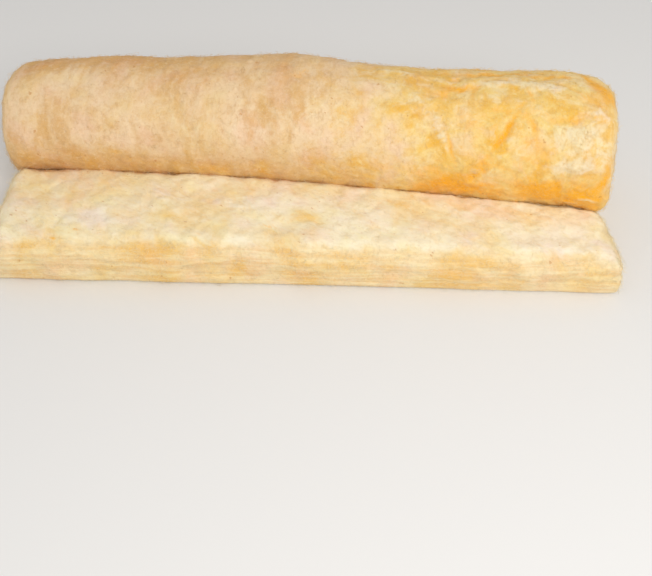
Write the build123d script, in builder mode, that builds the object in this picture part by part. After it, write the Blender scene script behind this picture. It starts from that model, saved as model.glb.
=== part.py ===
"""Glass wool insulation roll, partly paid out.

One blanket of glass wool, wound into a soft coil that lies on the floor. Its free end runs out from
under the coil as a short flat length with a cut edge. The blanket is wound tighter at the left end
than at the right one, so the coil tapers. Its turns press against each other and leave a spiral
valley on both ends, round an open eye.

Frame, in millimetres: X along the coil, Y away from the flat length, Z up. The origin is on the floor
line, under the coil, half way along it.
"""

import math
import os

from build123d import *

# The blanket as it is sold
BLANKET_WIDTH = 1200
BLANKET_THICKNESS = 100

# The coil. Each radius is the first quarter turn's, where the blanket leaves the floor
LEFT_RADIUS = 135
RIGHT_RADIUS = 152
OUTER_PITCH = 38
EYE_RADIUS = 20

# The flat length, measured from the line where the coil touches the floor to the cut edge. The coil
# has been rolled a little off the straight, so one side of the flat length is longer than the other
LEFT_RUN = 335
RIGHT_RUN = 252
NIP_HEIGHT = 80
RECOVERY_LENGTH = 190

# Soft edges, and the valley that the turns leave between them on the ends. The flat length's edges are
# the rounder ones, so that its end under the coil lies inside the coil's own rim
RIM_ROUNDING = 26
RUN_ROUNDING = 32
VALLEY_DEPTH = 10
VALLEY_MOUTH = 16
VALLEY_BOTTOM = 2
VALLEY_QUARTERS = 8
CREASE_ANGLE = 62

HALF_WIDTH = BLANKET_WIDTH / 2
MIDDLE_RADIUS = (LEFT_RADIUS + RIGHT_RADIUS) / 2

# The coil's outline is one turn of tangent quarter arcs, each smaller than the one before by this step
QUARTERS = 4
QUARTER_STEP = OUTER_PITCH / QUARTERS

# The coil is a cone lying on its side, so its axis and its ends lean by this angle
LEAN = math.degrees(math.atan((RIGHT_RADIUS - LEFT_RADIUS) / BLANKET_WIDTH))
coil_place = Rot(0, -LEAN, 0)

# The flat length's sides are square to its cut edge, so they drift along X by this much for each mm
SIDE_DRIFT = (LEFT_RUN - RIGHT_RUN) / BLANKET_WIDTH


def arc_centre(index):
    """The centre of one quarter arc, across the coil. It steps round a small square."""
    beside = QUARTER_STEP if index % QUARTERS in (1, 2) else 0
    above = QUARTER_STEP if index % QUARTERS in (2, 3) else 0
    return Vector(0, beside, MIDDLE_RADIUS + above)


def lengthwise_section(index):
    """Half a section along the coil, with soft rims, where one quarter arc begins."""
    turned = Plane(arc_centre(index), x_dir=(1, 0, 0), z_dir=(0, 1, 0)).rotated((90 * index, 0, 0))
    with BuildSketch(turned) as section:
        with BuildLine():
            Polyline(
                (-HALF_WIDTH, 0),
                (HALF_WIDTH, 0),
                (HALF_WIDTH, RIGHT_RADIUS - index * QUARTER_STEP),
                (-HALF_WIDTH, LEFT_RADIUS - index * QUARTER_STEP),
                close=True,
            )
        make_face()
        fillet(section.vertices().sort_by(Axis.Y)[-2:], RIM_ROUNDING)
    return section.sketch


def valley_section(end, radius, centre, angle):
    """The valley's section on one end, at an angle round the arc's centre from straight down."""
    clear_line = end * (HALF_WIDTH + BLANKET_THICKNESS)
    face_line = end * HALF_WIDTH
    bottom_line = end * (HALF_WIDTH - VALLEY_DEPTH)
    across = Plane(centre, x_dir=(1, 0, 0), z_dir=(0, 1, 0)).rotated((angle, 0, 0))
    with BuildSketch(across) as section:
        with BuildLine():
            Polyline(
                (face_line, radius - VALLEY_MOUTH / 2),
                (clear_line, radius - VALLEY_MOUTH / 2),
                (clear_line, radius + VALLEY_MOUTH / 2),
                (face_line, radius + VALLEY_MOUTH / 2),
                (bottom_line, radius + VALLEY_BOTTOM / 2),
                (bottom_line, radius - VALLEY_BOTTOM / 2),
                close=True,
            )
        make_face()
    return section.sketch


def valley_pieces(end, end_radius):
    """The valley on one end in quarter arcs, from the crease in front of the coil to near the eye.
    Both ends have the same turns, so their pitch is smaller where the coil is smaller."""
    pieces = []
    radius = end_radius - (QUARTERS - 1) * QUARTER_STEP
    step = (radius - EYE_RADIUS - VALLEY_MOUTH) / (VALLEY_QUARTERS - 1)
    centre = arc_centre(QUARTERS - 1)
    for index in range(QUARTERS - 1, QUARTERS - 1 + VALLEY_QUARTERS):
        arc = CREASE_ANGLE if index == QUARTERS - 1 else 90
        end_angle = 90 * (index + 1)
        section = valley_section(end, radius, centre, end_angle - arc)
        pieces.append((section, Axis(centre, (1, 0, 0)), arc))
        centre += Vector(0, 0, -step).rotate(Axis.X, end_angle)
        radius -= step
    return pieces


# The coil, solid between its turns
with BuildPart() as coil:
    for quarter in range(QUARTERS):
        turning_axis = Axis(arc_centre(quarter), (1, 0, 0))
        revolve(lengthwise_section(quarter), axis=turning_axis, revolution_arc=90)

# The flat length: pressed thin in the nip under the coil, and full thickness at its cut edge
with BuildPart() as flat_run:
    with BuildSketch(Plane.YZ) as side:
        with BuildLine():
            floor_line = Line((0, 0), (-max(LEFT_RUN, RIGHT_RUN), 0))
            cut_edge = Line(floor_line @ 1, floor_line @ 1 + Vector(0, BLANKET_THICKNESS))
            top = Line(cut_edge @ 1, (-RECOVERY_LENGTH, BLANKET_THICKNESS))
            slope = TangentArc(top @ 1, (0, NIP_HEIGHT), tangent=(1, 0))
            Line(slope @ 1, floor_line @ 0)
        make_face()
    extrude(amount=BLANKET_WIDTH, both=True)
    with BuildSketch(coil_place * Plane.XY) as plan:
        with BuildLine():
            Polyline(
                (-HALF_WIDTH, 0),
                (-HALF_WIDTH + LEFT_RUN * SIDE_DRIFT, -LEFT_RUN),
                (HALF_WIDTH + RIGHT_RUN * SIDE_DRIFT, -RIGHT_RUN),
                (HALF_WIDTH, 0),
                close=True,
            )
        make_face()
    extrude(amount=2 * BLANKET_THICKNESS, both=True, mode=Mode.INTERSECT)
    in_the_nip = flat_run.faces().sort_by(Axis.Y)[-1].edges()
    soft = [edge for edge in flat_run.edges() if edge not in in_the_nip]
    fillet(soft, RUN_ROUNDING)

# The whole is put together beside the coil's own axis, and then leaned back on to the floor
with BuildPart() as leaning:
    add(coil.part)
    add(flat_run.part.moved(coil_place.inverse()))
    for end, end_radius in ((-1, LEFT_RADIUS), (1, RIGHT_RADIUS)):
        for section, turning_axis, arc in valley_pieces(end, end_radius):
            revolve(section, axis=turning_axis, revolution_arc=arc, mode=Mode.SUBTRACT)
    eye_centre = Vector(0, QUARTER_STEP / 2, MIDDLE_RADIUS + QUARTER_STEP / 2)
    with BuildSketch(Plane(eye_centre, x_dir=(0, 1, 0), z_dir=(1, 0, 0))):
        Circle(EYE_RADIUS)
    extrude(amount=BLANKET_WIDTH, both=True, mode=Mode.SUBTRACT)

with BuildPart() as glass_wool_roll:
    add(leaning.part.moved(coil_place))

glass_wool_roll.part.label = "glass_wool_roll"
os.makedirs("parts", exist_ok=True)
export_step(glass_wool_roll.part, "parts/glass_wool_roll.step")
print("eye through", (coil_place * Pos(eye_centre)).position, "leaning", LEAN, "degrees")
print("volume in cubic metres", glass_wool_roll.part.volume / 1e9)
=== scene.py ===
"""Looks of the glass wool roll: the soft coil, the flat length that runs out from under it, and the
loose fibres on both. Metres, in the frame that part.py describes."""

import itertools
import math

import bpy
import numpy as np
from mathutils import Matrix, Vector


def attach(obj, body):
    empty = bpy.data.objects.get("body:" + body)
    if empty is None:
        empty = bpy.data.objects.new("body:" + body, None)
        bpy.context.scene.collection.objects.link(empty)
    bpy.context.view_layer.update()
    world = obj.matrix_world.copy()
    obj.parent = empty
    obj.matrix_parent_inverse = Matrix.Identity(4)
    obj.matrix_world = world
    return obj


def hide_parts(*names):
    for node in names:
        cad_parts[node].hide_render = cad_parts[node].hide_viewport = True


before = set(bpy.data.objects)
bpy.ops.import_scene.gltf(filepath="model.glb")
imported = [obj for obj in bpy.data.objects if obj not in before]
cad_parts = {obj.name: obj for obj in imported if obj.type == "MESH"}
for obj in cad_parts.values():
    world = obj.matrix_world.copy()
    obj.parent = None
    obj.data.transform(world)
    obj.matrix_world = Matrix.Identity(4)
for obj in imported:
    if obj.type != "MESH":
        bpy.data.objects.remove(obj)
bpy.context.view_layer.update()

# Sizes that part.py has too
HALF_WIDTH = 0.600
LEFT_RADIUS = 0.135
RIGHT_RADIUS = 0.152
QUARTERS = 4
QUARTER_STEP = 0.0095
EYE_RADIUS = 0.020
VALLEY_MOUTH = 0.016
INNER_QUARTERS = 7
LEFT_RUN = 0.335
RIGHT_RUN = 0.252
THICKNESS = 0.100
MIDDLE_RADIUS = (LEFT_RADIUS + RIGHT_RADIUS) / 2
LEAN = math.atan((RIGHT_RADIUS - LEFT_RADIUS) / (2 * HALF_WIDTH))
SIDE_DRIFT = (LEFT_RUN - RIGHT_RUN) / (2 * HALF_WIDTH)
CENTRE_Y = QUARTER_STEP / 2
CENTRE_Z = MIDDLE_RADIUS + QUARTER_STEP / 2

# The middle of the coil lies this much further back than its ends, and the whole of it is a little to
# the right, its left end by more
BOW = 0.019
SHIFT = 0.0025
MORE_AT_LEFT = 1.4

# Places round the coil are quarter turns from its underside: 1 is the back, 2 the top and 3 the front.
# Here the coil comes down on the flat length, pinches it most, and ends at the eye
CREASE_QUARTER = 3.6
PINCH_QUARTER = 3.66
LAST_QUARTER = 12

# Soft shoulders at the coil's ends: their share of its radius, where they start along the coil, and
# where they begin and end round it
SHOULDER = 0.05
SHOULDER_START = 0.52
SHOULDER_BEGINS = (0.4, 1.0)
SHOULDER_ENDS = (2.6, 3.3)

# A rim's rounding along the coil and across it: near the floor, round the back and over the top, and
# where two turns meet. It opens and closes over these quarter turns
FLOOR_RIM = (0.020, 0.016)
OPEN_RIM = (0.045, 0.029)
VALLEY_RIM = (0.011, 0.009)
RIM_OPENS = (0.0, 0.7)
RIM_CLOSES = (2.7, 3.8)

# The hidden wall in the coil is this share of its width
WALL_SHARE = 0.985

# How many parts the coil's mesh has: in a quarter turn, along the skin, across each piece of a turn's
# end, and along the eye
STEPS = 54
SKIN_COLUMNS = 264
RIM_COLUMNS = 9
FLAT_COLUMNS = 4
VALLEY_COLUMNS = 7
BORE_COLUMNS = 16
TURN = QUARTERS * STEPS
ROWS = LAST_QUARTER * STEPS
END_COLUMNS = RIM_COLUMNS + FLAT_COLUMNS + VALLEY_COLUMNS

# The wool's pattern is laid round a tube of this radius, and its thin folds wander by this much
PATTERN_RADIUS = 0.13
FOLD_WANDER = 0.035
FOLD_WANDER_SCALE = 7

# The noise has so many slopes, and this gain takes it from about -1 to 1
SLOPES = 256
NOISE_GAIN = 1.6


def ease(value, low, high):
    """0 below low, 1 above high, and a smooth step between."""
    t = np.clip((value - low) / (high - low), 0, 1)
    return t * t * (3 - 2 * t)


def hump(value, middle, spread):
    """1 at the middle, and close to 0 from twice the spread on."""
    return np.exp(-(((value - middle) / spread) ** 2))


def wool_noise(points, scale, seed):
    """Smooth noise from about -1 to 1, with one lump to each 1/scale metres."""
    chance = np.random.default_rng(seed)
    slopes = chance.normal(size=(SLOPES, 3))
    slopes /= np.linalg.norm(slopes, axis=1, keepdims=True)
    order = chance.permutation(SLOPES)
    scaled = points * scale
    cell = np.floor(scaled).astype(int)
    inside = scaled - cell
    fade = inside**3 * (inside * (inside * 6 - 15) + 10)
    total = np.zeros(len(points))
    for corner in itertools.product((0, 1), repeat=3):
        at = cell + corner
        key = order[at[:, 0] % SLOPES]
        key = order[(key + at[:, 1]) % SLOPES]
        key = order[(key + at[:, 2]) % SLOPES]
        reach = ((inside - corner) * slopes[key]).sum(1)
        total += np.where(corner, fade, 1 - fade).prod(1) * reach
    return NOISE_GAIN * total


def roughness(points, rows):
    """Noise of several sizes. Each row has a height, how many lumps there are to a metre, and a seed."""
    total = np.zeros(len(points))
    for height, scale, seed in rows:
        total += height * wool_noise(points, scale, seed)
    return total


def layer_noise(points, along_layers, rows):
    """The same for thin layers, longer along them. Each row has a stretch too."""
    total = np.zeros(len(points))
    for height, scale, stretch, seed in rows:
        total += height * wool_noise(points * np.where(along_layers, stretch, 1), scale, seed)
    return total


def folds(points, scale, seed, width):
    """Thin wandering lines over the wool: 1 on each line, and 0 away from it."""
    bent = points.copy()
    for axis in range(3):
        bent[:, axis] += FOLD_WANDER * wool_noise(points, FOLD_WANDER_SCALE, seed + 1 + axis)
    return hump(wool_noise(bent, scale, seed), 0, width)


def patches(rows, along, around):
    """How strongly any of the patches covers each point."""
    total = np.zeros(len(along))
    for middle, quarter, reach, turned_reach, slant, strength in rows:
        shifted = along - middle - slant * (around - quarter)
        patch = strength * hump(shifted, 0, reach) * hump(around, quarter, turned_reach)
        total = np.maximum(total, patch)
    return total


def quads(grid):
    """The faces of a grid of vertex numbers."""
    corners = (grid[:-1, :-1], grid[1:, :-1], grid[1:, 1:], grid[:-1, 1:])
    return np.stack([c.ravel() for c in corners], 1)


def normals_of(points, faces):
    """The outward direction at each point, from the faces round it."""
    across = points[faces[:, 2]] - points[faces[:, 0]]
    along = points[faces[:, 3]] - points[faces[:, 1]]
    each = np.cross(across, along)
    total = np.zeros_like(points)
    for corner in range(4):
        np.add.at(total, faces[:, corner], each)
    return total / np.maximum(np.linalg.norm(total, axis=1, keepdims=True), 1e-12)


def build_mesh(name, points, faces):
    """A mesh object. A quad with two corners in one place becomes a triangle."""
    mesh = bpy.data.meshes.new(name)
    rows = []
    for face in faces.tolist():
        corners = list(dict.fromkeys(face))
        if len(corners) > 2:
            rows.append(corners)
    mesh.from_pydata(points.tolist(), [], rows)
    mesh.polygons.foreach_set("use_smooth", np.ones(len(mesh.polygons), bool))
    mesh.update()
    piece = bpy.data.objects.new(name, mesh)
    bpy.context.scene.collection.objects.link(piece)
    return piece


def add_marks(piece, places, marks):
    """What the materials read at each point: its place in the wool's pattern, and values from 0 to 1."""
    held = piece.data.attributes.new("place", "FLOAT_VECTOR", "POINT")
    held.data.foreach_set("vector", places.astype(np.float32).ravel())
    for label, values in marks.items():
        held = piece.data.attributes.new(label, "FLOAT", "POINT")
        held.data.foreach_set("value", np.clip(values, 0, 1).astype(np.float32))


def turn_radius(x, quarter):
    """From the coil's own centre line to the outside of the blanket, so many quarter turns in."""
    first = LEFT_RADIUS + (RIGHT_RADIUS - LEFT_RADIUS) * (x / (2 * HALF_WIDTH) + 0.5)
    outer = first + QUARTER_STEP / 2 - QUARTER_STEP * quarter
    step = (first - (QUARTERS - 1) * QUARTER_STEP - EYE_RADIUS - VALLEY_MOUTH) / INNER_QUARTERS
    inner = first - (QUARTERS - 0.5) * QUARTER_STEP - step * (quarter - QUARTERS)
    radius = np.where(quarter < QUARTERS, outer, inner)
    to_eye = ease(quarter, LAST_QUARTER - 1, LAST_QUARTER)
    return np.maximum(radius + (EYE_RADIUS - radius) * to_eye, EYE_RADIUS)


def bow_at(x):
    """Half of the bow backwards in the middle, and half of it forwards at the ends."""
    return BOW * (0.5 - (x / HALF_WIDTH) ** 2)


def shift_at(x):
    """How far to the right the coil is moved."""
    return SHIFT * (1 + MORE_AT_LEFT * ease(-x, 0.2, 0.6))


def stand(x, across, up):
    """A point of the straight, level coil, moved to where the bent and leaning coil lies."""
    moved_x = x * math.cos(LEAN) - up * math.sin(LEAN) + shift_at(x)
    moved_z = x * math.sin(LEAN) + up * math.cos(LEAN)
    return np.stack([moved_x, across + bow_at(x), moved_z], -1)


def coil_point(x, quarter, radius):
    """A point of the coil, with soft shoulders at both ends, on its back, top and front."""
    angle = math.pi / 2 * quarter
    turned = quarter % QUARTERS
    shoulder = ease(np.abs(x), SHOULDER_START, HALF_WIDTH)
    shoulder = shoulder * ease(turned, *SHOULDER_BEGINS) * (1 - ease(turned, *SHOULDER_ENDS))
    radius = radius * (1 - SHOULDER * shoulder)
    return stand(x, CENTRE_Y + radius * np.sin(angle), CENTRE_Z - radius * np.cos(angle))


def rim_size(quarter, direction):
    """How large the rim's rounding is: direction 0 is along the coil, and 1 across it."""
    floor, opened, valley = FLOOR_RIM[direction], OPEN_RIM[direction], VALLEY_RIM[direction]
    size = floor + (opened - floor) * ease(quarter, *RIM_OPENS)
    return size + (valley - size) * ease(quarter, *RIM_CLOSES)


def rim_start(quarter):
    """How far from the middle of the coil the rim begins."""
    return HALF_WIDTH - rim_size(quarter, 0)


class CoilWool:
    """The coil's points as they are made: where they lie, their places in the wool's pattern, and how
    much each is cut end."""

    def __init__(self):
        self.points = []
        self.places = []
        self.cuts = []

    def keep(self, x, quarter, radius, cut, depth=0.0):
        """Depth is how far below the turn's outside a point is, so that the layers run along the turns.
        The result is the points' numbers, in the shape of the input."""
        x, quarter, radius, depth = np.broadcast_arrays(x, quarter, radius, depth)
        first = sum(len(p) for p in self.points)
        shape = x.shape
        x, quarter, radius, depth = x.ravel(), quarter.ravel(), radius.ravel(), depth.ravel()
        self.points.append(coil_point(x, quarter, radius))
        angle = math.pi / 2 * quarter
        pattern = (x + np.sign(x) * depth, PATTERN_RADIUS * np.sin(angle), -PATTERN_RADIUS * np.cos(angle))
        self.places.append(np.stack(pattern, 1))
        self.cuts.append(np.broadcast_to(cut, shape).ravel())
        return first + np.arange(len(x)).reshape(shape)


def end_strip(wool, side):
    """One end is a strip that winds in, and the inner edge of each turn is the outer edge of the next."""
    quarter = (np.arange(ROWS) / STEPS)[:, None]
    inward = quarter + QUARTERS
    rim = np.linspace(0, math.pi / 2, RIM_COLUMNS + 1)
    flat = np.linspace(0, 1, FLAT_COLUMNS + 1)[1:]
    valley = np.linspace(math.pi / 2, 0, VALLEY_COLUMNS + 1)[1:]
    outside = turn_radius(side * rim_start(quarter), quarter)
    inside = turn_radius(side * rim_start(inward), inward)
    thick = outside - inside
    high = np.minimum(rim_size(quarter, 1), thick / 2)
    low = np.minimum(rim_size(inward, 1), thick / 2)
    rim_x = side * (HALF_WIDTH - rim_size(quarter, 0) * (1 - np.sin(rim)))
    rim_r = outside - high * (1 - np.cos(rim))
    flat_x = side * HALF_WIDTH * np.ones_like(quarter * flat)
    flat_r = outside - high - (thick - high - low) * flat
    valley_x = side * (HALF_WIDTH - rim_size(inward, 0) * (1 - np.sin(valley)))
    valley_r = inside + low * (1 - np.cos(valley))
    all_x = np.concatenate([rim_x, flat_x, valley_x], 1)
    all_r = np.concatenate([rim_r, flat_r, valley_r], 1)
    depth = outside - all_r

    # From the crease on, the whole of the strip is cut face
    cut = np.concatenate([np.sin(rim) ** 2, np.ones(FLAT_COLUMNS + VALLEY_COLUMNS)])[None, :]
    cut = np.where(quarter < CREASE_QUARTER, cut, 1.0)

    # The last turn's inner edge is the rim of the eye, and the strip ends there in one point
    own = wool.keep(all_x[:, :-1], quarter, all_r[:, :-1], cut[:, :-1], depth[:, :-1])
    eye_rows = np.arange(ROWS - TURN + 1, ROWS)
    eye = wool.keep(all_x[eye_rows, -1], eye_rows / STEPS, all_r[eye_rows, -1], 1.0, depth[eye_rows, -1])
    last_quarter = np.array([float(LAST_QUARTER)])
    last = wool.keep(side * rim_start(last_quarter), last_quarter, np.array([EYE_RADIUS]), 1.0)
    numbers = np.zeros((ROWS + 1, END_COLUMNS + 1), int)
    numbers[:ROWS, :-1] = own
    numbers[ROWS, :] = last[0]
    numbers[: ROWS - TURN + 1, -1] = numbers[TURN:, 0]
    numbers[ROWS - TURN + 1 : ROWS, -1] = eye
    return numbers


def coil_skin(wool, ends):
    """The skin joins the two rims in evenly spaced columns. The places of its first row come with it."""
    quarter = (np.arange(TURN + 1) / STEPS)[:, None]
    across = np.linspace(-1, 1, SKIN_COLUMNS + 1)[None, 1:-1]
    x = rim_start(quarter) * across
    skin = wool.keep(x, quarter, turn_radius(x, quarter), 0.0)
    rims = [end[: TURN + 1, :1] for end in ends]
    return np.concatenate([rims[0], skin, rims[1]], 1), x[:1]


def hidden_wall(wool, ends, skin, x):
    """Where the flat length leaves the coil, a hidden wall closes the coil."""
    share = np.linspace(0, 1, END_COLUMNS + 1)[1:-1, None]
    top = turn_radius(x, 0.0)
    low = turn_radius(x, float(QUARTERS))
    wall = wool.keep(WALL_SHARE * x, 0.0, top + (low - top) * share, 0.0)
    wall = np.concatenate([skin[:1, 1:-1], wall, skin[-1:, 1:-1]], 0)
    return np.concatenate([ends[0][0][:, None], wall, ends[1][0][:, None]], 1)


def eye_wall(wool, ends):
    """The wall of the eye, from one end's innermost turn to the other's."""
    turning = np.arange(TURN) / STEPS
    x = np.linspace(-1, 1, BORE_COLUMNS + 1)[1:-1] * rim_start(np.array(float(LAST_QUARTER)))
    bore = wool.keep(x[None, :], turning[:, None], EYE_RADIUS, 1.0)
    bore = np.concatenate([bore, bore[:1]], 0)
    rings = [np.append(end[ROWS - TURN : ROWS, -1], end[ROWS, 0])[:, None] for end in ends]
    return np.concatenate([rings[0], bore, rings[1]], 1)


def coil_shape():
    """Points, faces, and for each point its place in the wool's pattern and how much it is cut end."""
    wool = CoilWool()
    ends = [end_strip(wool, side) for side in (-1, 1)]
    skin, first_row = coil_skin(wool, ends)
    wall = hidden_wall(wool, ends, skin, first_row)
    bore = eye_wall(wool, ends)
    faces = [quads(skin), quads(ends[0])[:, ::-1], quads(ends[1])]
    faces += [quads(wall)[:, ::-1], quads(bore)[:, ::-1]]
    made = (wool.points, faces, wool.places, wool.cuts)
    return [np.concatenate(rows) for rows in made]


# The wool's noises, in rows of a height in metres, how many lumps there are to a metre, and a seed
LUMPS = ((0.0032, 7, 11), (0.0022, 17, 12), (0.0014, 41, 13), (0.0008, 97, 14))
COIL_WANDER = ((0.022, 8, 41), (0.012, 26, 42), (0.005, 70, 44))
GOLDEN_RELIEF = ((0.0017, 48, 16), (0.0010, 105, 17))
LOOSE_RELIEF = ((0.0022, 62, 18), (0.0014, 130, 19))
RUN_RELIEF = ((0.0026, 12, 33), (0.0020, 28, 34), (0.0010, 66, 35))
RUN_FINE_RELIEF = ((0.0012, 46, 37),)
RUN_WANDER = ((0.018, 9, 43), (0.010, 28, 45))

# Thin lines run where a noise is zero: its lumps to a metre, its seed, and how wide the lines are
AMBER_LINES = (8.0, 51, 0.075)
PALE_LINES = (9.0, 61, 0.110)
RUN_FOLDS = (9.0, 81, 0.090)

# Grooves and layers are noise too, with a stretch before the seed. They lie along the axes marked True
ROUND_THE_COIL = (False, True, True)
COIL_GROOVES = ((0.0011, 55, 0.2, 15),)
COIL_LAYERS = ((0.0011, 240, 0.05, 21), (0.00066, 420, 0.09, 22))
LEVEL = (True, True, False)
RUN_LAYERS = ((0.0026, 105, 0.07, 31), (0.0013, 260, 0.08, 32))

# Over the coil's top, from its back to its front, lie swellings and a dip: height, place along it, reach
TOP_BEGINS = (0.9, 1.7)
TOP_ENDS = (2.5, 3.1)
TOP_SWELLINGS = (
    (0.015, -0.03, 0.13),
    (0.006, -0.36, 0.12),
    (0.008, -0.19, 0.09),
    (0.006, 0.50, 0.10),
    (-0.004, 0.25, 0.06),
)

# A swelling low at the right end, and how far loose wool stands out and creases and folds sink in
LOW_SWELLING = 0.006
LOOSE_HEIGHT = 0.0035
CREASE_DEPTH = 0.0040
FOLD_DEPTH = 0.0026

# Where the photo shows deep golden wool on the coil: place along it, quarter turn, reach both ways,
# slant, strength. The patches low on the front, near three quarter turns, are partly painted shade
DEEP_PATCHES = (
    (0.297, 2.05, 0.042, 0.08, 0.0, 0.85),
    (0.262, 2.13, 0.034, 0.07, 0.0, 0.55),
    (0.335, 2.93, 0.022, 0.24, -0.10, 0.8),
    (0.440, 2.70, 0.050, 0.16, -0.10, 0.42),
    (0.340, 2.45, 0.050, 0.14, 0.0, 0.36),
    (0.320, 3.18, 0.095, 0.19, 0.0, 1.0),
    (0.475, 3.10, 0.070, 0.24, 0.0, 1.0),
    (0.550, 3.18, 0.060, 0.22, 0.0, 1.0),
    (0.588, 2.97, 0.016, 0.30, 0.0, 0.9),
    (0.563, 1.90, 0.022, 0.22, 0.08, 1.0),
    (0.503, 2.34, 0.055, 0.05, 0.0, 0.65),
    (0.440, 2.47, 0.014, 0.16, 0.0, 0.6),
    (0.372, 1.80, 0.110, 0.05, 0.0, 0.8),
    (0.494, 1.86, 0.060, 0.05, 0.0, 0.7),
    (0.250, 2.95, 0.050, 0.12, 0.0, 0.4),
    (-0.006, 2.01, 0.040, 0.12, 0.0, 0.3),
)

# Creases in it, which wander less
CREASES = (
    (0.390, 2.50, 0.008, 0.32, -0.130, 0.85),
    (0.288, 2.65, 0.008, 0.25, 0.07, 0.60),
    (0.560, 2.75, 0.007, 0.20, 0.05, 0.45),
)

# The same for pale loose wool
PALE_PATCHES = (
    (0.522, 2.47, 0.050, 0.13, 0.0, 1.1),
    (0.515, 2.70, 0.055, 0.14, 0.0, 1.1),
    (0.565, 2.58, 0.022, 0.16, 0.0, 0.7),
    (0.604, 2.62, 0.010, 0.45, 0.0, 0.9),
    (0.267, 2.50, 0.016, 0.14, 0.05, 0.8),
    (0.338, 2.82, 0.010, 0.16, -0.10, 0.5),
    (0.568, 2.30, 0.022, 0.05, 0.0, 1.0),
    (0.568, 3.20, 0.020, 0.025, 0.0, 0.8),
    (0.540, 3.25, 0.026, 0.020, 0.0, 0.7),
    (0.420, 1.97, 0.120, 0.07, 0.0, 0.85),
    (0.200, 1.92, 0.090, 0.05, 0.0, 0.6),
    (0.220, 2.20, 0.060, 0.14, 0.0, 0.4),
    (0.360, 2.25, 0.030, 0.12, 0.0, 0.4),
    (-0.120, 2.55, 0.180, 0.22, 0.0, 0.35),
    (0.050, 2.45, 0.060, 0.20, 0.0, 0.35),
)

# On the flat length: places along and across, reach both ways, slant, strength
FLECKS = (
    (-0.410, -0.277, 0.009, 0.004, 0.0, 0.6),
    (-0.041, -0.232, 0.014, 0.007, 0.3, 0.4),
    (0.474, -0.223, 0.008, 0.004, 0.0, 0.5),
    (-0.447, -0.300, 0.012, 0.004, 0.0, 0.6),
    (0.160, -0.160, 0.008, 0.003, 0.0, 0.5),
)
GOLDEN_PATCHES = (
    (-0.203, -0.322, 0.110, 0.026, 0.0, 0.9),
    (-0.110, -0.312, 0.080, 0.024, 0.0, 0.9),
    (0.314, -0.283, 0.110, 0.022, 0.0, 0.8),
    (0.080, -0.300, 0.120, 0.018, 0.0, 0.6),
    (0.020, -0.180, 0.050, 0.050, 0.4, 0.50),
    (-0.180, -0.210, 0.060, 0.030, 0.6, 0.50),
    (0.220, -0.140, 0.070, 0.040, 0.0, 0.50),
    (-0.480, -0.315, 0.140, 0.020, 0.0, 0.4),
)
WHITE_PATCHES = (
    (-0.392, -0.250, 0.060, 0.025, 0.0, 0.9),
    (-0.060, -0.164, 0.080, 0.030, 0.5, 0.9),
    (0.120, -0.190, 0.070, 0.035, 0.0, 0.8),
    (0.500, -0.205, 0.110, 0.045, 0.0, 1.0),
    (0.330, -0.225, 0.060, 0.030, 0.0, 0.6),
    (-0.250, -0.150, 0.090, 0.030, 0.6, 0.5),
)


def raised(points, normals, rise):
    """The points moved out along their normals, but never below the floor."""
    moved = points + normals * rise[:, None]
    moved[:, 2] = np.maximum(moved[:, 2], 0.0)
    return moved


def coil_marks(x, turned, places, cuts):
    """How golden, deep amber, pale and tan the coil's wool is at each point. The tan over the back and top
    is painted shade, and the tan and gold low along the front are partly painted shade.
    """
    wander = roughness(places, COIL_WANDER)
    along = x + wander
    around = turned + 5 * wander
    skin = 1 - cuts
    beside_end = 1 - ease(cuts, 0.95, 1.0)

    # The right half is golden, and so is a band low along the front, which is partly painted shade where
    # the coil faces down
    gold = ease(x + 2.4 * wander, -0.04, 0.34) * (1 - 0.25 * cuts)
    gold = np.maximum(gold, 0.40 * ease(around, 2.70, 3.15) * ease(along, -0.65, -0.2))

    # Amber and pale wool lie in patches, and in thin lines that wander through the golden wool
    amber_line = folds(places, *AMBER_LINES) * ease(x, 0.10, 0.36) * skin
    deep = np.maximum(patches(DEEP_PATCHES, along, around), 0.42 * amber_line)
    deep = np.maximum(deep, patches(CREASES, x + 0.3 * wander, turned + wander))
    wisp = folds(places, *PALE_LINES) * ease(x, 0.02, 0.30) * skin
    pale = np.maximum(patches(PALE_PATCHES, along, around), 0.26 * wisp)
    pale = np.maximum(pale, 0.9 * ease(x, 0.589, 0.597) * hump(turned, 2.65, 0.45))

    # The left half is tan over its back and top, which is painted shade, and low along the front, which is
    # partly painted shade where the coil faces down
    top = (0.66 - 0.22 * ease(along, -0.35, -0.05)) * (1 - ease(around, 1.75, 2.50))
    low = 0.64 * ease(around, 2.68, 3.12) * (1 - ease(along, -0.1, 0.5))
    tan_and_shade = np.maximum(top * (1 - ease(along, -0.05, 0.3)), low)
    tan_and_shade = tan_and_shade + 0.30 * hump(along, -0.29, 0.10) * hump(around, 2.50, 0.18)
    return {"gold": gold, "deep": deep * beside_end, "pale": pale * beside_end, "tan_and_shade": tan_and_shade}


def coil_rise(points, turned, places, cuts, marks):
    """How far each point of the coil stands out or sinks in."""
    x = points[:, 0]
    skin = 1 - cuts
    over_top = ease(turned, *TOP_BEGINS) * (1 - ease(turned, *TOP_ENDS))
    rise = roughness(points, LUMPS) * (1 - 0.4 * cuts)
    for height, middle, reach in TOP_SWELLINGS:
        rise += over_top * skin * height * hump(x, middle, reach)
    rise += LOW_SWELLING * hump(x, 0.58, 0.045) * hump(turned, 3.25, 0.25)

    # Loose wool stands out, and golden creases lie deeper
    rise += skin * (LOOSE_HEIGHT * marks["pale"] - CREASE_DEPTH * marks["deep"])
    rise += marks["pale"] * ease(x, 0.1, 0.4) * roughness(places, LOOSE_RELIEF)
    rise += marks["gold"] * roughness(places, GOLDEN_RELIEF)

    # Faint grooves run round the coil, and fine layers round its cut ends
    rise += skin * layer_noise(places, ROUND_THE_COIL, COIL_GROOVES)
    return rise + cuts * layer_noise(places, ROUND_THE_COIL, COIL_LAYERS)


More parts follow.
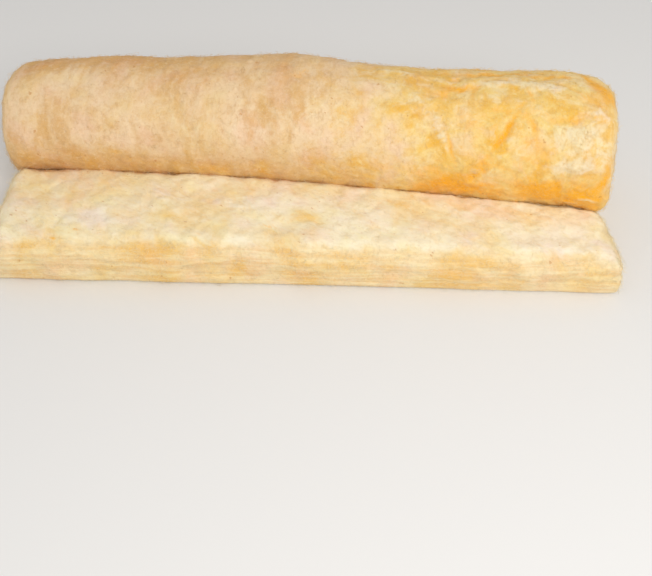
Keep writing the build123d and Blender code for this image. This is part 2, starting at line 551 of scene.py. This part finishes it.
# The coil: its smooth shape first, then its colours, then its relief
coil_points, coil_faces, coil_places, coil_cuts = coil_shape()
turned = (np.arctan2(coil_places[:, 1], -coil_places[:, 2]) / (math.pi / 2)) % QUARTERS
coil_colours = coil_marks(coil_points[:, 0], turned, coil_places, coil_cuts)
coil_relief = coil_rise(coil_points, turned, coil_places, coil_cuts, coil_colours)
coil_points = raised(coil_points, normals_of(coil_points, coil_faces), coil_relief)
coil = build_mesh("coil_wool", coil_points, coil_faces)
add_marks(coil, coil_places, {"cut": coil_cuts, **coil_colours})

# The flat length is the skin of a block of cells, which is then stretched from its start under the coil
# to its cut edge. The block is rounded at its top and floor edges, and less where it goes under the coil
RUN_CELLS = (260, 92, 26)
RUN_START = 0.030
BLOCK_LENGTH = 0.33
BLOCK = np.array([2 * HALF_WIDTH, BLOCK_LENGTH, THICKNESS])
TOP_ROUNDING = 0.042
FLOOR_ROUNDING = 0.016
NIP_ROUNDING = 0.014
CORNER_POWER = 5

# Under the coil it is narrower by this share of its width, and just in front of the nip it is a little
# wider. Its right front corner spreads outwards, and its hidden end is lifted off the floor
NIP_NARROWING = 0.004
NIP_WIDENING = 0.0035
CORNER_SPREAD = 0.016
END_LIFT = 0.007

# How far it goes into the coil, and how deep the coil pinches it: everywhere, and more at the ends and
# on the right
OVERLAP = 0.006
PINCH_DEPTH = 0.004
MORE_AT_ENDS = 0.005
MORE_ON_RIGHT = 0.006
PINCH_WIDTH = 0.007
PINCH_SOFTNESS = 0.010

# The pinch lies this much in front of the crease, and on the right this much further back
PINCH_FORWARD = 0.002
BACK_ON_RIGHT = 0.006

# The wool is thicker left of the middle, and thinner on the right
THICKER = 0.006
THINNER = 0.008

# The coil's underside is found in so many steps. Where there is none, it counts as far above
NEARING_STEPS = 4
FAR_ABOVE = 9.0


def block_skin(cells):
    """The places of the cells' corners on a block's outside, from 0 to 1, and its faces."""
    size = tuple(n + 1 for n in cells)
    at = np.stack(np.meshgrid(*[np.arange(n) for n in size], indexing="ij"), -1)
    outside = ((at == 0) | (at == np.array(cells))).any(-1)
    number = np.full(size, -1)
    number[outside] = np.arange(outside.sum())
    faces = []
    for axis, end in itertools.product(range(3), (0, -1)):
        sheet = quads(np.take(number, end, axis))
        outward = (axis == 1) != (end == 0)
        faces.append(sheet if outward else sheet[:, ::-1])
    return at[outside] / np.array(cells), np.concatenate(faces)


def rounded_block():
    """The block's points and faces. It goes under the coil where its second axis starts."""
    unit, faces = block_skin(RUN_CELLS)
    sharp = unit * BLOCK
    top_rounding = NIP_ROUNDING + (TOP_ROUNDING - NIP_ROUNDING) * ease(sharp[:, 1], 0.03, 0.13)
    rounding = np.where(sharp[:, 2] > THICKNESS / 2, top_rounding, FLOOR_ROUNDING)[:, None]
    core = np.clip(sharp, rounding, BLOCK - rounding)
    out = sharp - core
    in_plan = (np.abs(out[:, :2]) ** CORNER_POWER).sum(1) ** (2 / CORNER_POWER)
    reach = np.maximum(np.sqrt(in_plan + out[:, 2] ** 2), 1e-9)[:, None]
    return core + rounding * out / reach, faces


def under_coil(x, y):
    """The height of the coil's underside in front of the nip, and a great height where there is none."""
    centre = CENTRE_Y + bow_at(x)
    on_coil = np.clip(x, -HALF_WIDTH, HALF_WIDTH)
    radius = turn_radius(on_coil, CREASE_QUARTER)
    for _ in range(NEARING_STEPS):
        back = np.arcsin(np.clip((centre - y) / radius, 0, 1))
        radius = turn_radius(on_coil, QUARTERS - back / (math.pi / 2))
    height = x * math.sin(LEAN) + (CENTRE_Z - radius * np.cos(back)) * math.cos(LEAN)
    return np.where(centre - y < radius, height, FAR_ABOVE)


def soft_least(a, b, softness):
    """The lower of two heights, with a soft bend where they cross."""
    share = np.clip(0.5 + 0.5 * (b - a) / softness, 0, 1)
    return b + (a - b) * share - softness * share * (1 - share)


def run_height(x):
    """The flat length's thickness where nothing presses on it."""
    return THICKNESS + THICKER * hump(x, -0.12, 0.22) - THINNER * ease(x, 0.15, 0.60)


def crease_line(x):
    """Where the coil comes down on the flat length's top."""
    radius = turn_radius(np.clip(x, -HALF_WIDTH, HALF_WIDTH), PINCH_QUARTER)
    fall = CENTRE_Z + x * math.sin(LEAN) - run_height(x)
    return CENTRE_Y + bow_at(x) - np.sqrt(np.maximum(radius**2 - fall**2, 0))


def run_top(x, y):
    """The height of the flat length's top, which the coil pinches along the crease."""
    to_end = ease(np.abs(x + 0.05), 0.30, 0.60)
    to_right = ease(x, 0.10, 0.40)
    depth = PINCH_DEPTH + MORE_AT_ENDS * to_end + MORE_ON_RIGHT * to_right
    middle = crease_line(x) - PINCH_FORWARD + BACK_ON_RIGHT * ease(x, 0.10, 0.35)
    trench = depth * hump(y, middle, PINCH_WIDTH)
    return soft_least(run_height(x) - trench, under_coil(x, y) + OVERLAP, PINCH_SOFTNESS)


def run_shape():
    """The block laid out on the floor, so that one side is longer than the other, under the bent coil."""
    block, faces = rounded_block()
    across = block[:, 0] - HALF_WIDTH
    length = LEFT_RUN + (RIGHT_RUN - LEFT_RUN) * (across / (2 * HALF_WIDTH) + 0.5)
    y = RUN_START - block[:, 1] / BLOCK_LENGTH * (length + RUN_START)
    narrow = 1 - NIP_NARROWING * ease(y, 0.002, 0.026) + NIP_WIDENING * hump(y, -0.005, 0.013)
    x = across * narrow + SIDE_DRIFT * np.maximum(-y, 0)
    x = x + shift_at(across) * ease(y, -0.14, -0.02)
    x += CORNER_SPREAD * ease(across, 0.2, 0.6) * ease(-y, 0.06, 0.24)
    y = y + bow_at(across) * ease(y, -0.26, -0.12)
    low = END_LIFT * ease(y, 0.0, RUN_START)
    z = low + block[:, 2] / THICKNESS * (run_top(x, y) - low)
    return np.stack([x - z * math.sin(LEAN), y, z], 1), faces


def run_rise(points, cut, fold):
    """How far each point of the flat length stands out or sinks in."""
    y, z = points[:, 1], points[:, 2]
    rise = roughness(points, LUMPS) + roughness(points, RUN_RELIEF) * ease(-y, 0.0, 0.08)
    rise *= ease(z, 0.0, 0.03)
    rise += (roughness(points, RUN_FINE_RELIEF) - FOLD_DEPTH * fold) * ease(z, 0.04, 0.07)
    return rise + cut * layer_noise(points, LEVEL, RUN_LAYERS)


def run_marks(points, normals, cut, shown, fold):
    """How golden, deep amber, pale and tan the flat length's wool is at each point. It is more golden
    along its front edge, and has flecks of binder. Its folds, the crease under the coil and its cut faces
    near the floor are painted darker as shade."""
    x, y, z = points.T
    wander = roughness(points, RUN_WANDER)
    along = x + 1.5 * wander
    toward = y + wander
    front = ease(-y, 0.17, 0.26) * ease(-normals[:, 1], 0.25, 0.8)
    gold = 0.25 * front * ease(wander, -0.02, 0.01) + 0.6 * patches(GOLDEN_PATCHES, along, toward)
    # The fold lines are painted more golden and amber, as painted shade in the folds
    gold += 0.10 * fold + 0.75 * ease(y, -0.11, -0.01) * ease(along, -0.04, 0.34)
    deep = np.maximum(0.12 * cut * shown + 0.16 * fold, patches(FLECKS, x, y))
    pale = patches(WHITE_PATCHES, along, toward) * (1 - 0.7 * front)
    # Painted shade: the crease where the coil comes down is painted tan
    painted_crease_shade = hump(y, crease_line(x), 0.005) * ease(z, 0.05, 0.07)
    # The cut faces are painted tan towards the floor, as painted shade
    tan_and_shade = np.maximum(0.35 * cut * (1 - ease(z + 0.3 * wander, 0.02, 0.06)), 0.8 * painted_crease_shade)
    return {"gold": gold, "deep": deep, "pale": pale, "tan_and_shade": tan_and_shade}


# The flat length in the same way. Its cut faces are its front edge and its sides
run_points, run_faces = run_shape()
run_normals = normals_of(run_points, run_faces)
run_cut = ease(np.abs(run_normals[:, :2]).max(1), 0.45, 0.85)
run_cut *= np.maximum(ease(-run_points[:, 1], 0.06, 0.12), ease(np.abs(run_normals[:, 0]), 0.3, 0.7))
fold = folds(run_points, *RUN_FOLDS) * (1 - run_cut) * ease(wool_noise(run_points, 8, 86), -0.1, 0.4)

# Fluff hides the layers on the cut edge in places
shown = ease(wool_noise(run_points * np.array([1, 1, 2]), 7, 36), -0.5, 0.3)
run_points = raised(run_points, run_normals, run_rise(run_points, run_cut * shown, fold))

# Its pattern lies aslant, and is longer from left to right
ASLANT = np.array([[0.91, -0.42, 0], [0.42, 0.91, 0], [0, 0, 1]])
PATTERN_STRETCH = np.array([0.8, 1.25, 1])
run_places = run_points @ ASLANT.T * PATTERN_STRETCH
run = build_mesh("run_wool", run_points, run_faces)
run_colours = run_marks(run_points, run_normals, run_cut, shown, fold)
add_marks(run, run_places, {"cut": run_cut, **run_colours})


def paint(red, green, blue):
    """A colour as it is seen on a screen, from 0 to 255, as the shaders take it."""
    return tuple(((c / 255 + 0.055) / 1.055) ** 2.4 for c in (red, green, blue)) + (1.0,)


# A tan for the wool's tan tone and for painted shade
TAN_AND_SHADE_TONE = paint(225, 171, 96)
AMBER = paint(254, 182, 24)
LAYER_TONES = (paint(238, 192, 118), paint(251, 228, 176))
PINKER = (1.0, 0.950, 1.0, 1.0)
YELLOWER = (1.0, 1.0, 0.90, 1.0)
LAYER_SHARE = 0.6
COIL_BODY = {
    "plain": paint(233, 193, 138),
    "light": paint(245, 215, 174),
    "low": paint(224, 176, 110),
    "loose": paint(248, 231, 194),
}
RUN_BODY = {
    "plain": paint(253, 229, 178),
    "light": paint(255, 242, 211),
    "low": paint(248, 215, 150),
    "loose": paint(255, 243, 219),
}

# How many layers, streaks and bands there are to a metre, along each axis of the pattern
COIL_GRAIN = {"layers": (330, 9, 9), "streaks": (60, 7, 7), "streak_strength": 0.6, "bands": (17, 5, 5)}
RUN_GRAIN = {"layers": (8, 8, 120), "streaks": (26, 10, 12), "streak_strength": 0.35, "bands": (16, 9, 9)}

# Bumps, mostly from fibres too fine for the mesh. Some lie across the pattern's first axis, and some
# along it
HAIRS_ACROSS = (900, 240, 260)
HAIRS_ALONG = (260, 820, 900)
BUMP_STRENGTH = 0.55
BUMP_HEIGHT = 0.0022


def new_material(name):
    """A material and its shader."""
    made = bpy.data.materials.new(name)
    made.use_nodes = True
    return made, made.node_tree.nodes["Principled BSDF"]


class Weave:
    """Short names for the nodes that the wool's materials are made of."""

    def __init__(self, tree):
        self.tree = tree

    def make(self, kind, inputs=(), **settings):
        """A new node. An input is linked where it is another node's output, and is set otherwise."""
        node = self.tree.nodes.new(kind)
        for key, value in settings.items():
            setattr(node, key, value)
        for key, value in dict(inputs).items():
            if isinstance(value, bpy.types.NodeSocket):
                self.link(value, node, key)
            else:
                node.inputs[key].default_value = value
        return node

    def link(self, value, node, key):
        self.tree.links.new(value, node.inputs[key])

    def held(self, label, output="Fac"):
        """What add_marks gave each point of the mesh."""
        return self.make("ShaderNodeAttribute", attribute_name=label).outputs[output]

    def vector(self, operation, *values):
        return self.make("ShaderNodeVectorMath", dict(enumerate(values)), operation=operation).outputs[0]

    def stretch(self, vector, sizes):
        return self.vector("MULTIPLY", vector, sizes)

    def bent(self, vector, scale, reach):
        """The places, swirled about so that no noise on them looks regular."""
        inputs = {"Vector": vector, "Scale": scale, "Detail": 2.0}
        swirl = self.make("ShaderNodeTexNoise", inputs).outputs["Color"]
        centred = self.vector("SUBTRACT", swirl, (0.5, 0.5, 0.5))
        return self.vector("MULTIPLY_ADD", centred, (reach, reach, reach), vector)

    def noise(self, vector, scale, detail, rough, bend=0.0):
        inputs = {"Vector": vector, "Scale": scale, "Detail": detail, "Roughness": rough}
        inputs["Distortion"] = bend
        return self.make("ShaderNodeTexNoise", inputs).outputs["Fac"]

    def ranged(self, value, low, high, to_low=0.0, to_high=1.0):
        """A smooth step, from one level where the value is low to another where it is high."""
        inputs = {"Value": value, "From Min": low, "From Max": high, "To Min": to_low, "To Max": to_high}
        return self.make("ShaderNodeMapRange", inputs, interpolation_type="SMOOTHSTEP").outputs[0]

    def sum(self, a, b):
        return self.make("ShaderNodeMath", {0: a, 1: b}, operation="ADD").outputs[0]

    def times(self, a, b):
        return self.make("ShaderNodeMath", {0: a, 1: b}, operation="MULTIPLY").outputs[0]

    def mix(self, share, a, b, blend="MIX"):
        inputs = {"Factor": share, 6: a, 7: b}
        made = self.make("ShaderNodeMix", inputs, data_type="RGBA", blend_type=blend)
        return made.outputs[2]

    def mottled(self, colour, rows):
        """The colour under more tones. Each row has a noise, its values where the tone starts and where
        it is full, the tone's strength, and the tone."""
        for noise, start, full, strength, tone in rows:
            colour = self.mix(self.ranged(noise, start, full, 0.0, strength), colour, tone)
        return colour

    def frayed(self, share, noise, fray, start, full, strength=1.0):
        """A share whose edge a noise frays. It starts and is full where the share has these values."""
        ragged = self.sum(share, self.ranged(noise, 0.3, 0.7, -fray, fray))
        return self.ranged(ragged, start, full, 0.0, strength)


class WoolNoise:
    """The noises of one wool, from broad to tiny, and those that run along it."""

    def __init__(self, w, place, grain):
        swirled = w.bent(w.bent(place, 5.0, 0.12), 20.0, 0.035)
        self.broad = w.noise(swirled, 6.0, 3.0, 0.5)
        self.middle = w.noise(swirled, 17.0, 4.0, 0.5)
        self.small = w.noise(swirled, 48.0, 4.0, 0.55)
        self.fleecy = w.noise(w.bent(place, 60.0, 0.012), 85.0, 4.0, 0.6)
        self.fine = w.noise(place, 150.0, 4.0, 0.6)
        self.tiny = w.noise(place, 520.0, 3.0, 0.6)
        self.tint = w.noise(w.bent(place, 11.0, 0.05), 15.0, 3.0, 0.5)
        self.flecks = w.noise(place, 75.0, 2.0, 0.5)
        self.streaks = w.noise(w.stretch(place, grain["streaks"]), 1.0, 3.0, 0.5, 0.2)
        self.bands = w.noise(w.stretch(swirled, grain["bands"]), 1.0, 2.0, 0.5, 0.2)
        self.layers = w.noise(w.stretch(place, grain["layers"]), 1.0, 4.0, 0.6, 0.3)
        self.hairs = w.noise(w.stretch(place, HAIRS_ACROSS), 1.0, 3.0, 0.6, 0.8)
        self.crossed = w.noise(w.stretch(place, HAIRS_ALONG), 1.0, 3.0, 0.6, 0.8)


def plain_wool(w, noise, body, streak_strength, tan_and_shade):
    """The plain wool, mottled and faintly streaked."""
    rows = (
        (noise.broad, 0.36, 0.64, 1.0, body["light"]),
        (noise.middle, 0.49, 0.67, 0.7, body["low"]),
        (noise.bands, 0.50, 0.64, 0.6, body["light"]),
        (noise.bands, 0.48, 0.34, 0.6, body["low"]),
        (noise.streaks, 0.42, 0.66, streak_strength, body["light"]),
        (noise.small, 0.50, 0.70, 0.36, body["light"]),
    )
    colour = w.mottled(body["plain"], rows)
    # Tan mixed in with a ragged edge, partly the wool's tone and partly painted shade
    ragged = w.ranged(w.sum(noise.middle, noise.streaks), 0.7, 1.3, -0.18, 0.18)
    colour = w.mix(w.ranged(w.sum(tan_and_shade, ragged), 0.08, 0.9), colour, TAN_AND_SHADE_TONE)
    rows = (
        (noise.fleecy, 0.50, 0.68, 0.40, body["light"]),
        (noise.fleecy, 0.48, 0.32, 0.30, body["low"]),
    )
    return w.mottled(colour, rows)


def golden_wool(w, noise):
    """Golden wool, marbled with amber and cream."""
    rows = (
        (noise.broad, 0.38, 0.62, 1.0, paint(247, 213, 136)),
        (noise.middle, 0.50, 0.66, 0.85, paint(244, 186, 64)),
        (noise.middle, 0.48, 0.35, 0.7, paint(250, 225, 170)),
        (noise.small, 0.51, 0.68, 0.60, paint(251, 227, 172)),
        (noise.small, 0.47, 0.32, 0.45, paint(244, 188, 70)),
        (noise.fleecy, 0.52, 0.70, 0.40, paint(250, 226, 168)),
        (noise.fleecy, 0.46, 0.30, 0.35, paint(243, 186, 76)),
    )
    return w.mottled(paint(245, 200, 108), rows)


def wool_look(name, body, grain):
    """A material of one wool, from its body's tones and its grain. Its cut faces show layers."""
    look, shader = new_material(name)
    w = Weave(look.node_tree)
    noise = WoolNoise(w, w.held("place", "Vector"), grain)
    cut = w.held("cut")
    colour = plain_wool(w, noise, body, grain["streak_strength"], w.held("tan_and_shade"))
    golden_share = w.frayed(w.held("gold"), noise.middle, 0.20, 0.10, 0.85)
    colour = w.mix(golden_share, colour, golden_wool(w, noise))
    layered = w.mix(w.ranged(noise.layers, 0.36, 0.64), *LAYER_TONES)
    colour = w.mix(w.times(cut, LAYER_SHARE), colour, layered)

    # Amber creases, pale loose wool, and places that are a little pinker or yellower than the rest
    colour = w.mix(w.frayed(w.held("deep"), noise.small, 0.22, 0.12, 0.95), colour, AMBER)
    colour = w.mix(w.frayed(w.held("pale"), noise.small, 0.24, 0.16, 0.95, 0.9), colour, body["loose"])
    colour = w.mix(w.ranged(noise.tint, 0.50, 0.66), colour, PINKER, "MULTIPLY")
    colour = w.mix(w.ranged(noise.tint, 0.50, 0.34), colour, YELLOWER, "MULTIPLY")

    # Fibres, pits between them painted darker as shade, and a few flecks of hard binder
    rows = (
        (noise.tiny, 0.50, 0.72, 0.25, paint(255, 244, 218)),
        (noise.fine, 0.44, 0.28, 0.20, paint(206, 146, 72)),
        (noise.flecks, 0.715, 0.76, 0.5, paint(196, 122, 40)),
    )
    w.link(w.mottled(colour, rows), shader, "Base Color")

    height = w.sum(w.sum(noise.hairs, noise.crossed), w.times(noise.fine, 1.4))
    height = w.sum(height, w.times(noise.small, 1.6))
    height = w.sum(height, w.times(w.times(noise.layers, cut), 1.2))
    inputs = {"Height": height, "Strength": BUMP_STRENGTH, "Distance": BUMP_HEIGHT}
    bump = w.make("ShaderNodeBump", inputs)
    w.link(bump.outputs[0], shader, "Normal")
    w.link(w.ranged(noise.fine, 0.3, 0.7, 0.86, 0.98), shader, "Roughness")
    shader.inputs["Specular IOR Level"].default_value = 0.25
    shader.inputs["Sheen Weight"].default_value = 0.10
    shader.inputs["Sheen Roughness"].default_value = 0.6
    return look


coil.data.materials.append(wool_look("coil_wool", COIL_BODY, COIL_GRAIN))
run.data.materials.append(wool_look("run_wool", RUN_BODY, RUN_GRAIN))
for piece in (coil, run):
    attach(piece, "root")
    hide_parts("glass_wool_roll")

# Loose fibres, each a thin spindle that bends twice, closed at both tips. Its root is this deep in the
# wool, and a little away from the point of the mesh that it starts from
FIBRE_COUNT = 13000
FIBRE_LENGTH = 0.020
FIBRE_RADIUS = 0.00022
FIBRE_SIDES = 3
FIBRE_BEND = 0.22
FIBRE_LIFT = 0.35
ROOT_DEPTH = 0.0006
ROOT_SPREAD = 0.002
LEAST_HEIGHT = 0.0005
SCATTER_SEED = 60
SHAPE_SEED = 70

# Its points after the root, as shares of its length, its bend and its lift
FIBRE_LINE = ((0.33, 0.4, 0.5), (0.68, 0.8, 0.9), (1.0, 1.5, 0.8))


def fibre_mesh(name, roots, outward, heading, seed):
    """One mesh of many fibres. They start just inside the wool, and run over it in their headings."""
    chance = np.random.default_rng(seed)
    count = len(roots)
    length = FIBRE_LENGTH * (0.35 + 0.65 * chance.random(count))[:, None]
    radius = FIBRE_RADIUS * (0.45 + 0.55 * chance.random(count))
    beside = np.cross(outward, heading)
    bends = chance.normal(0, FIBRE_BEND, (count, len(FIBRE_LINE)))
    lift = (FIBRE_LIFT * chance.random(count) ** 2)[:, None] * outward * length
    line = []
    for (ahead, aside, above), bend in zip(FIBRE_LINE, bends.T):
        point = roots + heading * length * ahead + beside * length * bend[:, None] * aside + lift * above
        point[:, 2] = np.maximum(point[:, 2], LEAST_HEIGHT)
        line.append(point)

    # A ring of corners round each point but the last, which is the tip
    corners = [roots - ROOT_DEPTH * outward]
    for point in line[:-1]:
        for side in range(FIBRE_SIDES):
            angle = 2 * math.pi * side / FIBRE_SIDES
            away = math.cos(angle) * beside + math.sin(angle) * outward
            corners.append(point + away * radius[:, None])
    corners.append(line[-1])
    points = np.stack(corners, 1).reshape(-1, 3)
    tip = len(corners) - 1
    pattern = []
    for side in range(FIBRE_SIDES):
        one, two = 1 + side, 1 + (side + 1) % FIBRE_SIDES
        pattern += [(0, two, one, one), (one, two, two + FIBRE_SIDES, one + FIBRE_SIDES)]
        pattern += [(one + FIBRE_SIDES, two + FIBRE_SIDES, tip, tip)]
    faces = (np.arange(count) * len(corners))[:, None, None] + np.array(pattern)[None]
    return build_mesh(name, points, faces.reshape(-1, 4))


def fibre_look(name, colour):
    look, shader = new_material(name)
    shader.inputs["Base Color"].default_value = colour
    shader.inputs["Roughness"].default_value = 0.8
    shader.inputs["Specular IOR Level"].default_value = 0.3
    return look


def scatter(points, normals, likelihood, seed, along_axis):
    """Roots, outward directions and headings of fibres, more of them where the likelihood is high."""
    chance = np.random.default_rng(seed)
    chosen = chance.choice(len(points), FIBRE_COUNT, p=likelihood / likelihood.sum())
    outward = normals[chosen]
    either_way = chance.normal(size=(FIBRE_COUNT, 3))
    heading = either_way + along_axis * chance.choice((-1.0, 1.0), FIBRE_COUNT)[:, None]
    heading -= (heading * outward).sum(1, keepdims=True) * outward
    heading /= np.maximum(np.linalg.norm(heading, axis=1, keepdims=True), 1e-9)
    spread = ROOT_SPREAD * chance.normal(size=(FIBRE_COUNT, 3)) * (1 - np.abs(outward))
    return points[chosen] + spread, outward, heading


# They grow where the wool is open to the air, and not at the floor or under the coil. Only a few grow
# inside the eye
coil_height = coil_points[:, 2]
open_coil = ease(coil_height, 0.004, 0.02) * ease(np.abs(coil_places[:, 1]) + coil_height, 0.02, 0.06)
in_bore = np.hypot(coil_points[:, 1] - CENTRE_Y, coil_height - CENTRE_Z) < EYE_RADIUS + 0.004
open_coil *= np.where(in_bore & (np.abs(coil_points[:, 0]) < HALF_WIDTH - 0.02), 0.0, 1.0)
open_run = ease(run_points[:, 2], 0.006, 0.02) * ease(-run_points[:, 1], 0.07, 0.10)
more_on_gold = (0.05 + coil_colours["gold"]) * (1 + 4 * coil_colours["pale"])
on_coil = (coil_points, normals_of(coil_points, coil_faces))
on_run = (run_points, normals_of(run_points, run_faces))

# Each kind's name, the wool it grows on, its likelihood, its colour, and which way most of it lies
fibre_kinds = (
    ("fibres_tan", on_coil, open_coil * (1.05 - coil_colours["gold"]), (232, 198, 146), (0, 1.2, 0.8)),
    ("fibres_gold", on_coil, open_coil * more_on_gold, (250, 216, 140), (0, 0.6, 0.6)),
    ("fibres_pale", on_run, open_run * (1 + 1.5 * run_cut), (252, 238, 200), (1.0, 0.3, 0)),
)
for number, (name, wool, likelihood, colour, axis) in enumerate(fibre_kinds):
    roots, outward, heading = scatter(*wool, likelihood, SCATTER_SEED + number, np.array(axis, float))
    piece = fibre_mesh(name, roots, outward, heading, SHAPE_SEED + number)
    piece.data.materials.append(fibre_look(name, paint(*colour)))
    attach(piece, "root")

# The floor, this far to every side
FLOOR_REACH = 6
floor_corners = [(FLOOR_REACH * x, FLOOR_REACH * y, 0) for x, y in ((-1, -1), (1, -1), (1, 1), (-1, 1))]
floor_mesh = bpy.data.meshes.new("floor")
floor_mesh.from_pydata(floor_corners, [], [(0, 1, 2, 3)])
floor = bpy.data.objects.new("floor", floor_mesh)
bpy.context.scene.collection.objects.link(floor)
floor_look, shader = new_material("floor")
shader.inputs["Base Color"].default_value = (0.80, 0.79, 0.78, 1)
shader.inputs["Roughness"].default_value = 0.9
floor_mesh.materials.append(floor_look)

# Soft light from all round
SOFT_WHITE = (1.0, 0.99, 0.97)
SKY_STRENGTH = 0.61
world = bpy.data.worlds.new("sky")
bpy.context.scene.world = world
world.use_nodes = True
world.node_tree.nodes["Background"].inputs["Color"].default_value = SOFT_WHITE + (1,)
world.node_tree.nodes["Background"].inputs["Strength"].default_value = SKY_STRENGTH

# A wide soft light from above, in front and to the right
LIGHT_PLACE = Vector((1.15, -2.30, 2.45))
LIGHT_AIM = Vector((0.05, -0.1, 0.1))
LIGHT_WIDTH = 1.8
LIGHT_WATTS = 63
light = bpy.data.lights.new("window", "AREA")
light.size = LIGHT_WIDTH
light.energy = LIGHT_WATTS
light.color = SOFT_WHITE
holder = bpy.data.objects.new("window", light)
holder.location = LIGHT_PLACE
holder.rotation_euler = (LIGHT_AIM - LIGHT_PLACE).to_track_quat("-Z", "Y").to_euler()
bpy.context.scene.collection.objects.link(holder)

# The camera, found by fitting the photo's outlines
FOCAL_PIXELS = 951.4
IMAGE_WIDTH = 652
SENSOR_WIDTH = 36
CAMERA_PLACE = (0.19201, -1.55123, 1.34417)
PITCH = 0.8142
YAW = -0.09454
ROLL = -0.00486
forward = Vector((math.sin(YAW) * math.cos(PITCH), math.cos(YAW) * math.cos(PITCH), -math.sin(PITCH)))
level = Vector((math.cos(YAW), -math.sin(YAW), 0))
down = forward.cross(level)
right = math.cos(ROLL) * level + math.sin(ROLL) * down
down = math.cos(ROLL) * down - math.sin(ROLL) * level
camera_data = bpy.data.cameras.new("camera")
camera_data.sensor_width = SENSOR_WIDTH
camera_data.lens = FOCAL_PIXELS * SENSOR_WIDTH / IMAGE_WIDTH
camera = bpy.data.objects.new("camera", camera_data)
turn = Matrix((right, -down, -forward)).transposed().to_4x4()
camera.matrix_world = Matrix.Translation(CAMERA_PLACE) @ turn
bpy.context.scene.collection.objects.link(camera)
bpy.context.scene.camera = camera
bpy.context.scene.view_settings.view_transform = "Standard"
